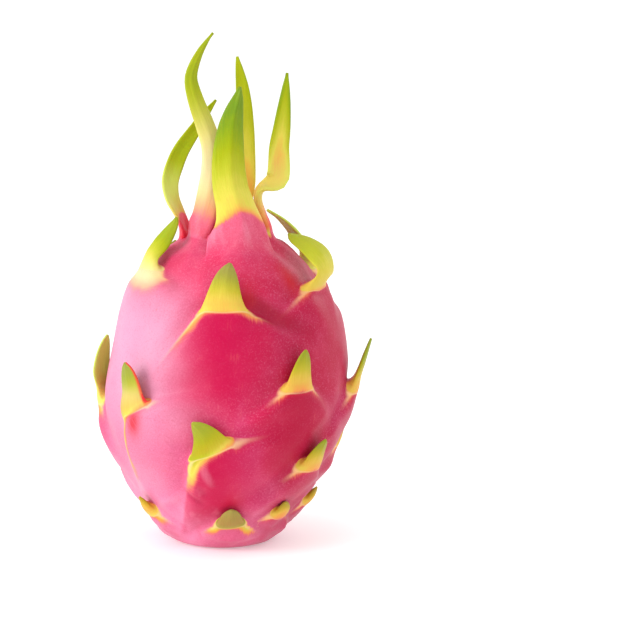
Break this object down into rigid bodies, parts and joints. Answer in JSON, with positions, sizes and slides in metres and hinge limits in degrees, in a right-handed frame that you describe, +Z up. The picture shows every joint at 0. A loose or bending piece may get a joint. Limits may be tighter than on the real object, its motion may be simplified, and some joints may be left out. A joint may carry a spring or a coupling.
{
  "type": "dragon fruit",
  "caption": "Whole dragon fruit with fleshy bracts up its sides and a crown of long bracts, standing on a small flat spot at its stem end.",
  "frame": {"origin": "centre of the small flat spot at the stem end, on which the fruit stands", "axes": "+Z up, from the stem end to the crown; -Y towards the viewer of the picture, with the widest crown bract in front; +X to the right"},
  "size_m": [0.1078, 0.1064, 0.195],
  "materials": {
    "skin": "satin skin, pink, with yellow-green bracts"
  },
  "bodies": {
    "root": {"dragon_fruit": "skin"}
  },
  "joints": []
}
